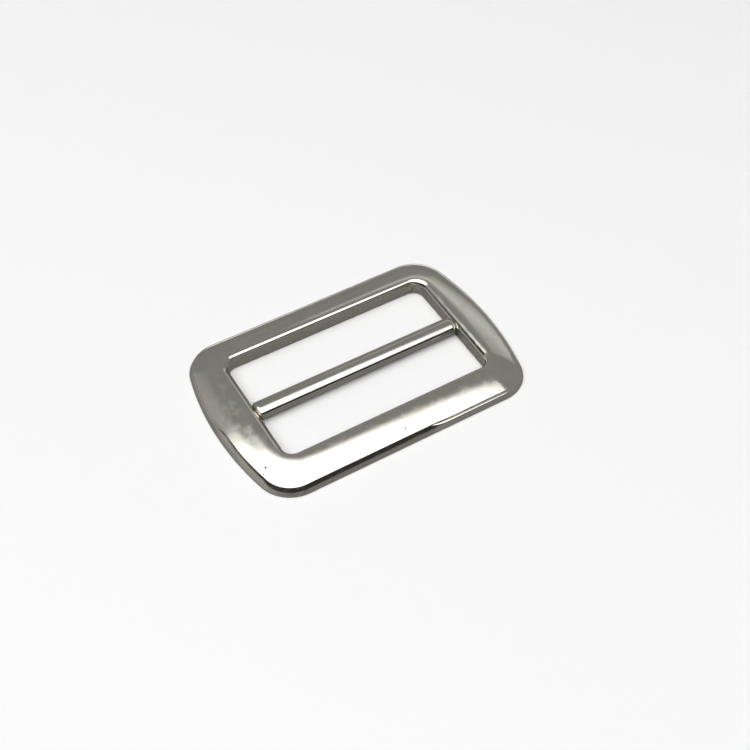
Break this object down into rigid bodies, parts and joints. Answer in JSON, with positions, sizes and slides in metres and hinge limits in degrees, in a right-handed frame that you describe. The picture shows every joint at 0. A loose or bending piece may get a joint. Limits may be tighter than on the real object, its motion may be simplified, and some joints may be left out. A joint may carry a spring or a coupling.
{
  "type": "strap slider buckle",
  "caption": "Bow-ended metal strap slider with a domed frame round a long opening and a fixed centre bar that webbing threads over.",
  "frame": {"origin": "middle of the slider on its flat back, where it rests on a table", "axes": "+X along the length and the centre bar, +Y across the two strap slots, +Z out of the domed front"},
  "size_m": [0.0524, 0.0348, 0.0029],
  "materials": {
    "nickel_frame": "bright nickel plate over die-cast zinc, polished crown, slightly hazy",
    "nickel_bar": "bright nickel plate, a little less polished than the crown"
  },
  "bodies": {
    "root": {"frame": "nickel_frame", "centre_bar": "nickel_bar"}
  },
  "joints": []
}
